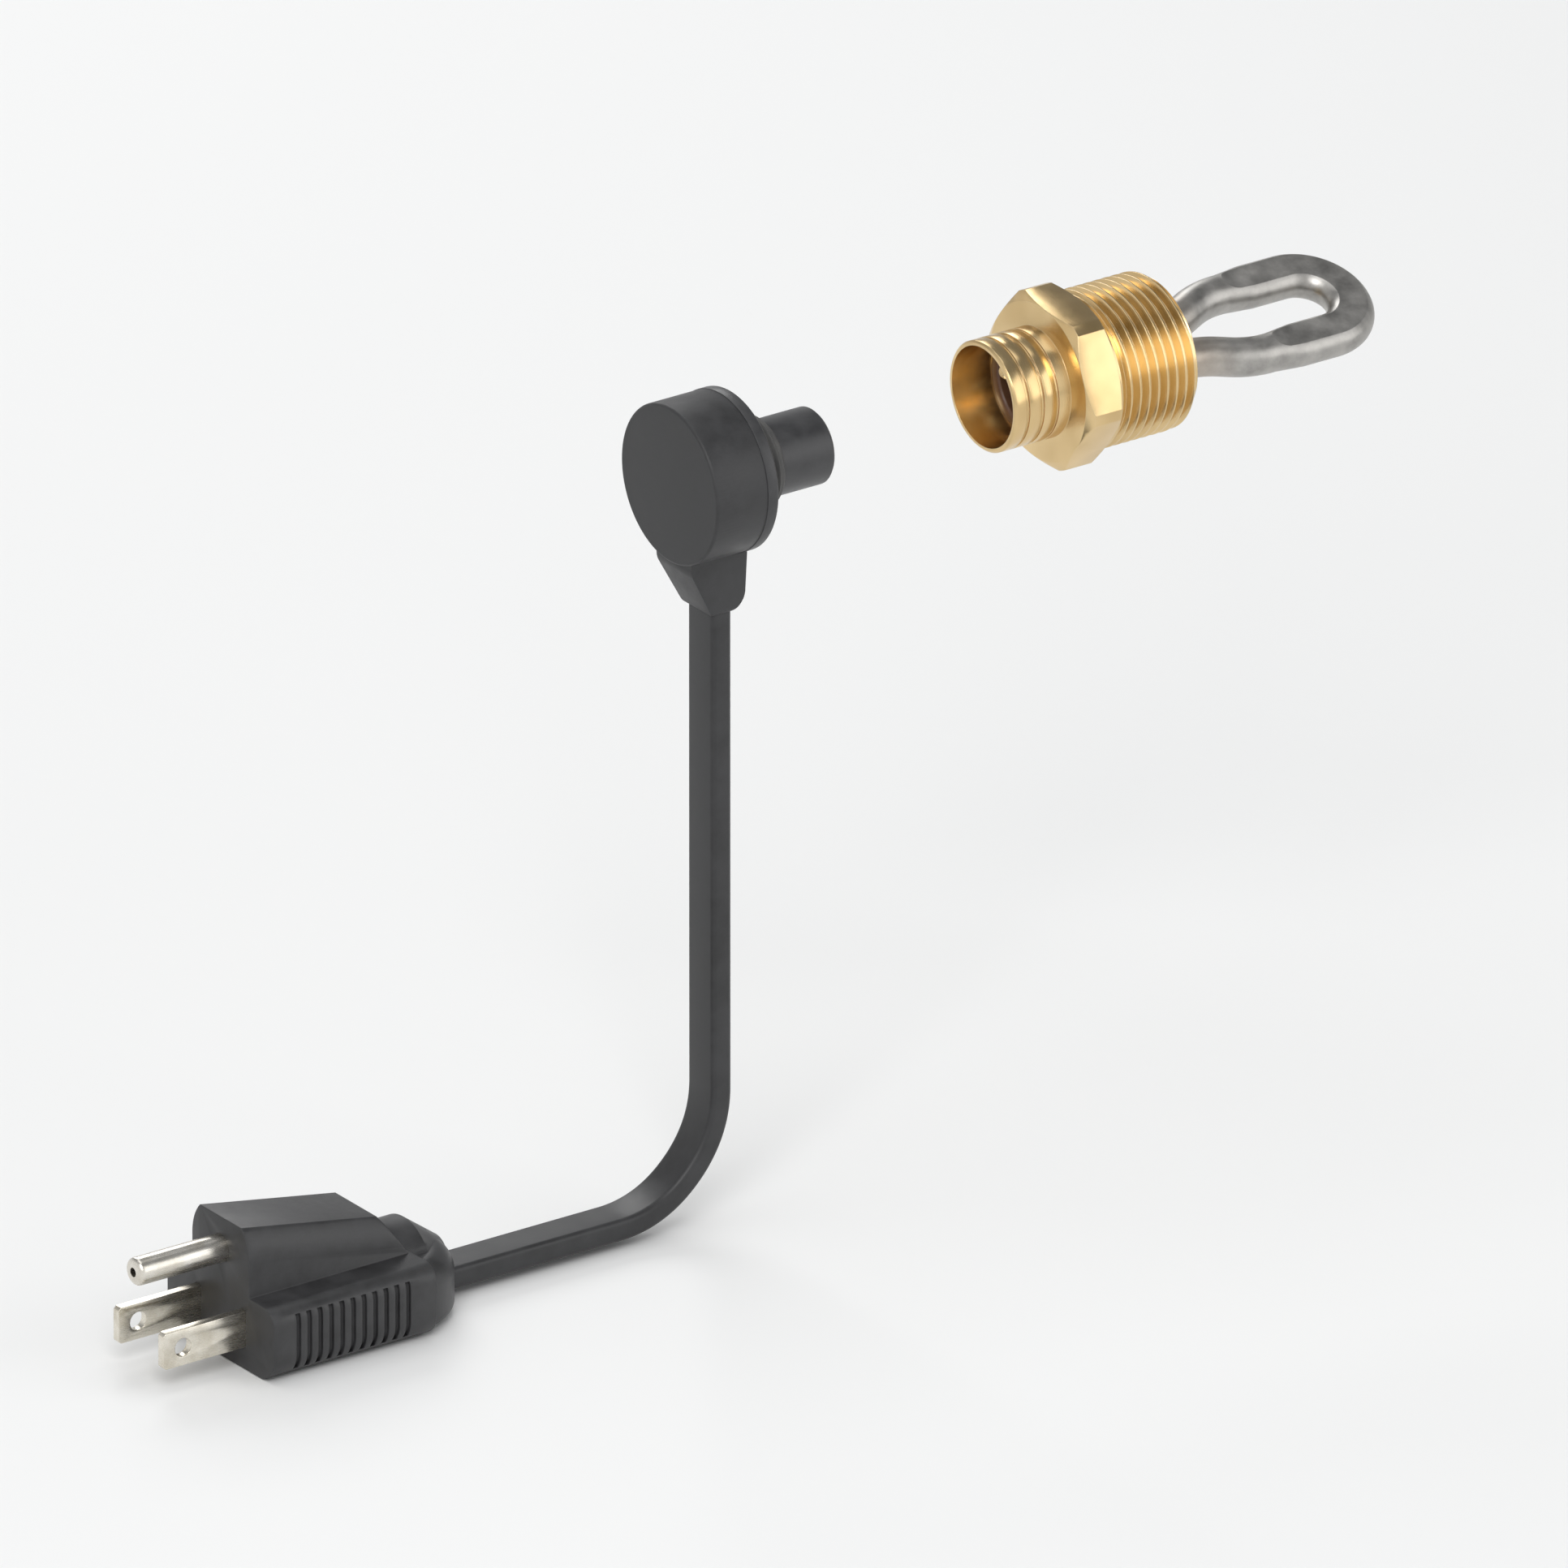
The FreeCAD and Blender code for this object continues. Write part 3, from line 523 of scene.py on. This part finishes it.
plugSizes = {"edgeRound": 0.14 * mm, "crease": 24, "underThread": 0.05 * mm, "margin": 0.01 * mm}


def hexPlug():
    # the turned plug from its solid, its thread wall let in and a screwed thread put over it
    sizes = plugSizes
    body = copyNode("hex_plug", "hex_plug_finished")
    crest = threadSizes["crestRadius"]
    core = crest - threadSizes["depth"] - sizes["underThread"]
    places = []
    for vertex in body.data.vertices:
        radius = math.hypot(vertex.co.y, vertex.co.z)
        onThread = vertex.co.x > -sizes["margin"] and core < radius < crest + sizes["margin"]
        scale = core / radius if onThread else 1.0
        places.append((vertex.co.x, vertex.co.y * scale, vertex.co.z * scale))
    setPlaces(body.data, places)
    roundEdges(body, sizes["edgeRound"], sizes["crease"])
    thread = screwThread(core)
    deselectAll()
    thread.select_set(True)
    body.select_set(True)
    bpy.context.view_layer.objects.active = body
    bpy.ops.object.join()
    return finishPiece(body, heaterBody, materials["brass"], "hex_plug", sizes["crease"])


brazeSizes = {"legOffset": 4.0 * mm, "tilt": 20.0, "legRadius": 3.25 * mm, "fillet": 0.55 * mm,
              "faceX": 16.2 * mm, "clearOfLeg": 0.35, "standOut": 0.8, "sunkIn": 0.15,
              "slowLump": 0.16, "quickLump": 0.08}


def brazeRing(side, name):
    # fillet of braze where a leg of the element leaves the plug
    sizes = brazeSizes
    turn = math.radians(sizes["tilt"])
    reach = side * sizes["legOffset"]
    centre = Vector((sizes["faceX"], reach * math.cos(turn), reach * math.sin(turn)))
    deselectAll()
    bpy.ops.mesh.primitive_torus_add(location=centre, rotation=(0, math.pi / 2, 0),
                                     major_radius=sizes["legRadius"] + sizes["fillet"] * sizes["clearOfLeg"],
                                     minor_radius=sizes["fillet"], major_segments=72, minor_segments=16)
    ring = bpy.context.object
    ring.name = name
    bpy.ops.object.transform_apply(location=True, rotation=True, scale=True)
    places = []
    for vertex in ring.data.vertices:
        offset = vertex.co - centre
        angle = math.atan2(offset.z, offset.y)
        lump = 1 + sizes["slowLump"] * math.sin(3 * angle + side) + sizes["quickLump"] * math.sin(7 * angle)
        forward = offset.x * (sizes["standOut"] if offset.x > 0 else sizes["sunkIn"]) * lump
        places.append((centre.x + forward, vertex.co.y, vertex.co.z))
    setPlaces(ring.data, places)
    finishPiece(ring, heaterBody, materials["braze"])
    return ring


cordSizes = {"width": 7.3 * mm, "thickness": 3.9 * mm, "corner": 0.9 * mm, "cornerSteps": 5,
             "stepsPerPoint": 40, "mapLength": 10 * mm, "creaseAngle": 50,
             "route": [(-72.0, 0.0, -23.3), (-72.0, 0.0, -61.3), (-72.0, 0.0, -99.3),
                       (-72.0, 0.0, -115.9), (-83.7, 0.0, -127.6), (-100.3, 0.0, -127.6),
                       (-126.2, 0.0, -127.6)]}


def cordLine():
    # points along the smooth line of the cord, read from its spline; its corner is two points, because
    # the photograph shows the cord straight up to one even bend
    curve = bpy.data.curves.new("cord route", "CURVE")
    curve.dimensions = "3D"
    spline = curve.splines.new("NURBS")
    spline.points.add(len(cordSizes["route"]) - 1)
    for point, place in zip(spline.points, cordSizes["route"]):
        point.co = (place[0] * mm, place[1] * mm, place[2] * mm, 1)
    spline.order_u = 3
    spline.use_endpoint_u = True
    spline.resolution_u = cordSizes["stepsPerPoint"]
    route = bpy.data.objects.new("cord route", curve)
    mesh = bpy.data.meshes.new_from_object(route)
    points = [vertex.co.copy() for vertex in mesh.vertices]
    bpy.data.objects.remove(route)
    bpy.data.meshes.remove(mesh)
    return points


def cordSection():
    # rounded rectangle, its wide side first, counter-clockwise
    halfWide = cordSizes["width"] / 2 - cordSizes["corner"]
    halfThick = cordSizes["thickness"] / 2 - cordSizes["corner"]
    steps = cordSizes["cornerSteps"]
    ring = []
    for index, (wide, thick) in enumerate(((1, 1), (-1, 1), (-1, -1), (1, -1))):
        for step in range(steps + 1):
            angle = math.pi / 2 * (index + step / steps)
            ring.append((wide * halfWide + cordSizes["corner"] * math.cos(angle),
                         thick * halfThick + cordSizes["corner"] * math.sin(angle)))
    return ring


def cordTube(points, ring):
    # the section carried along the points, its wide side across the cord's plane, with both ends closed
    vertices = []
    faces = []
    side = Vector((0, 1, 0))
    for index, point in enumerate(points):
        ahead = points[min(index + 1, len(points) - 1)] - points[max(index - 1, 0)]
        up = ahead.normalized().cross(side)
        vertices += [point + side * wide + up * thick for wide, thick in ring]
    count = len(ring)
    for row in range(len(points) - 1):
        for column in range(count):
            after = (column + 1) % count
            faces.append((row * count + column, row * count + after,
                          (row + 1) * count + after, (row + 1) * count + column))
    faces.append(tuple(range(count))[::-1])
    faces.append(tuple((len(points) - 1) * count + column for column in range(count)))
    mesh = bpy.data.meshes.new("flat cord")
    mesh.from_pydata(vertices, [], faces)
    return mesh


def cord():
    points = cordLine()
    ring = cordSection()
    mesh = cordTube(points, ring)
    travelled = [0.0]
    for before, after in zip(points, points[1:]):
        travelled.append(travelled[-1] + (after - before).length)
    uvs = mesh.uv_layers.new(name="jacket")
    for loop in mesh.loops:
        row, column = divmod(loop.vertex_index, len(ring))
        uvs.data[loop.index].uv = (column / len(ring), travelled[row] / cordSizes["mapLength"])
    piece = bpy.data.objects.new("flat_cord", mesh)
    bpy.context.scene.collection.objects.link(piece)
    makeActive(piece)
    bpy.ops.object.mode_set(mode="EDIT")
    bpy.ops.mesh.select_all(action="SELECT")
    bpy.ops.mesh.normals_make_consistent(inside=False)
    bpy.ops.object.mode_set(mode="OBJECT")
    finishPiece(piece, cordBody, materials["cord"], "cord", cordSizes["creaseAngle"])
    return piece, points, travelled[-1]


nodeFinishes = [
    ("element_sheath", heaterBody, "sheath", 0.0),
    ("magnesia_fill", heaterBody, "magnesia", 0.0),
    ("resistance_coil", heaterBody, "wire", 0.0),
    ("terminal_pin_line", heaterBody, "pin", 0.0),
    ("terminal_pin_neutral", heaterBody, "pin", 0.0),
    ("ground_terminal", heaterBody, "pin", 0.0),
    ("end_seal_line", heaterBody, "silicone", 0.0),
    ("end_seal_neutral", heaterBody, "silicone", 0.0),
    ("terminal_insulator", heaterBody, "insulator", 0.12 * mm),
    ("sealing_compound", heaterBody, "potting", 0.0),
    ("contact_carrier", cordBody, "carrier", 0.12 * mm),
    ("mouth_seal", cordBody, "seal", 0.06 * mm),
    ("connector_housing", cordBody, "housing", 0.25 * mm),
    ("contact_sleeve_line", cordBody, "sleeve", 0.0),
    ("contact_sleeve_neutral", cordBody, "sleeve", 0.0),
    ("contact_sleeve_ground", cordBody, "sleeve", 0.0),
    ("connector_lead_line", cordBody, "coreBlack", 0.0),
    ("connector_lead_neutral", cordBody, "coreWhite", 0.0),
    ("connector_lead_ground", cordBody, "coreGreen", 0.0),
    ("plug_moulding", cordBody, "vinyl", 0.16 * mm),
    ("blade_bridge", cordBody, "bridge", 0.0),
    ("blade_line", cordBody, "blade", 0.1 * mm),
    ("blade_neutral", cordBody, "blade", 0.1 * mm),
    ("ground_prong", cordBody, "pin", 0.0),
    ("plug_lead_line", cordBody, "coreBlack", 0.0),
    ("plug_lead_neutral", cordBody, "coreWhite", 0.0),
    ("plug_lead_ground", cordBody, "coreGreen", 0.0),
]


def dressAll():
    dressed = {}
    for node, body, finish, edgeWidth in nodeFinishes:
        dressed[node] = dressNode(node, body, materials[finish], edgeWidth)
    return dressed


stageSizes = {"floorZ": -131.2 * mm, "floorSize": 6.0, "floorTone": (0.86, 0.86, 0.855),
              "floorRoughness": 0.75, "floorSheen": 0.2}


def floorMaterial():
    material, _, _, shader = startMaterial("pale floor", 0.0, stageSizes["floorRoughness"])
    shader.inputs["Base Color"].default_value = (*stageSizes["floorTone"], 1)
    shader.inputs["Specular IOR Level"].default_value = stageSizes["floorSheen"]
    return material


def makeFloor():
    deselectAll()
    bpy.ops.mesh.primitive_plane_add(size=stageSizes["floorSize"], location=(0, 0, stageSizes["floorZ"]))
    floor = bpy.context.object
    floor.name = "studio_floor"
    floor.data.materials.append(floorMaterial())


roomSizes = {"wall": (0.20, 0.205, 0.21), "ceiling": (0.80, 0.81, 0.82), "wallTop": 0.05,
             "ceilingStart": 0.85, "strength": 0.72, "backdrop": (0.87, 0.87, 0.865),
             "overhead": (0.24, 0.245, 0.25), "shadeTowards": (0.35, 0.25, 0.90), "shadeStart": 0.12,
             "shadeEnd": 0.75}


def makeWorld():
    # a soft room of dim walls and a bright ceiling; the camera and all reflections see a pale backdrop
    # that falls off to grey overhead
    sizes = roomSizes
    world = bpy.data.worlds.new("studio")
    world.use_nodes = True
    bpy.context.scene.world = world
    nodes = world.node_tree.nodes
    links = world.node_tree.links
    room = nodes["Background"]
    room.inputs["Strength"].default_value = sizes["strength"]
    direction = nodes.new("ShaderNodeTexCoord")
    split = nodes.new("ShaderNodeSeparateXYZ")
    links.new(direction.outputs["Generated"], split.inputs["Vector"])
    walls = rampBetween(nodes, links, split.outputs["Z"], sizes["wall"], sizes["ceiling"],
                        sizes["wallTop"], sizes["ceilingStart"])
    links.new(walls, room.inputs["Color"])
    lean = nodes.new("ShaderNodeVectorMath")
    lean.operation = "DOT_PRODUCT"
    lean.inputs[1].default_value = sizes["shadeTowards"]
    links.new(direction.outputs["Generated"], lean.inputs[0])
    backdrop = nodes.new("ShaderNodeBackground")
    shade = rampBetween(nodes, links, lean.outputs["Value"], sizes["backdrop"], sizes["overhead"],
                        sizes["shadeStart"], sizes["shadeEnd"])
    links.new(shade, backdrop.inputs["Color"])
    path = nodes.new("ShaderNodeLightPath")
    direct = mathNode(nodes, links, "MAXIMUM", path.outputs["Is Camera Ray"],
                      path.outputs["Is Transmission Ray"])
    seen = mathNode(nodes, links, "MAXIMUM", direct, path.outputs["Is Glossy Ray"])
    mix = nodes.new("ShaderNodeMixShader")
    links.new(seen, mix.inputs["Fac"])
    links.new(room.outputs[0], mix.inputs[1])
    links.new(backdrop.outputs[0], mix.inputs[2])
    links.new(mix.outputs[0], nodes["World Output"].inputs["Surface"])


softLights = [
    {"name": "key", "place": (-0.75, -0.75, 0.85), "size": 0.7, "power": 7.6},
    {"name": "fill", "place": (0.75, -0.9, 0.35), "size": 0.9, "power": 3.2},
    {"name": "rim", "place": (0.25, 0.95, 0.65), "size": 0.6, "power": 4.2},
    {"name": "top", "place": (-0.1, 0.1, 1.1), "size": 0.9, "power": 2.6},
]
lightTarget = Vector((-0.06, 0, -0.05))


def makeLights():
    for sizes in softLights:
        lamp = bpy.data.lights.new(sizes["name"], "AREA")
        lamp.shape = "SQUARE"
        lamp.size = sizes["size"]
        lamp.energy = sizes["power"]
        light = bpy.data.objects.new(sizes["name"], lamp)
        light.location = sizes["place"]
        light.rotation_mode = "QUATERNION"
        light.rotation_quaternion = (lightTarget - light.location).to_track_quat("-Z", "Y")
        bpy.context.scene.collection.objects.link(light)


viewSizes = {"azimuth": -35.2, "elevation": 23.7, "lens": 1600.0, "sensor": 36.0,
             "frameWidth": 253.9 * mm, "lookAt": (-58.7, -2.0, -57.4), "clipEnd": 20.0}


def makeCamera():
    # very long lens, because the photograph is a parallel view
    sizes = viewSizes
    turn = math.radians(sizes["azimuth"])
    rise = math.radians(sizes["elevation"])
    back = Vector((math.sin(turn) * math.cos(rise), -math.cos(turn) * math.cos(rise), math.sin(rise)))
    distance = sizes["frameWidth"] * sizes["lens"] / sizes["sensor"]
    camera = bpy.data.cameras.new("view")
    camera.lens = sizes["lens"]
    camera.sensor_width = sizes["sensor"]
    camera.clip_end = sizes["clipEnd"]
    viewer = bpy.data.objects.new("view", camera)
    viewer.location = Vector(sizes["lookAt"]) * mm + back * distance
    viewer.rotation_mode = "QUATERNION"
    viewer.rotation_quaternion = (-back).to_track_quat("-Z", "Y")
    bpy.context.scene.collection.objects.link(viewer)
    bpy.context.scene.camera = viewer


makeCamera()
makeWorld()
makeLights()
makeFloor()
bpy.context.scene.view_settings.view_transform = "Standard"
print("camera, lights and floor made")

flatCord, cordPoints, cordLength = cord()
print("cord made:", round(cordLength, 4), "m")
dressed = dressAll()
print("nodes dressed:", len(dressed))
hexPlug()
brazeRing(-1, "braze_line")
brazeRing(1, "braze_neutral")
print("plug and thread made")

bpy.context.view_layer.update()
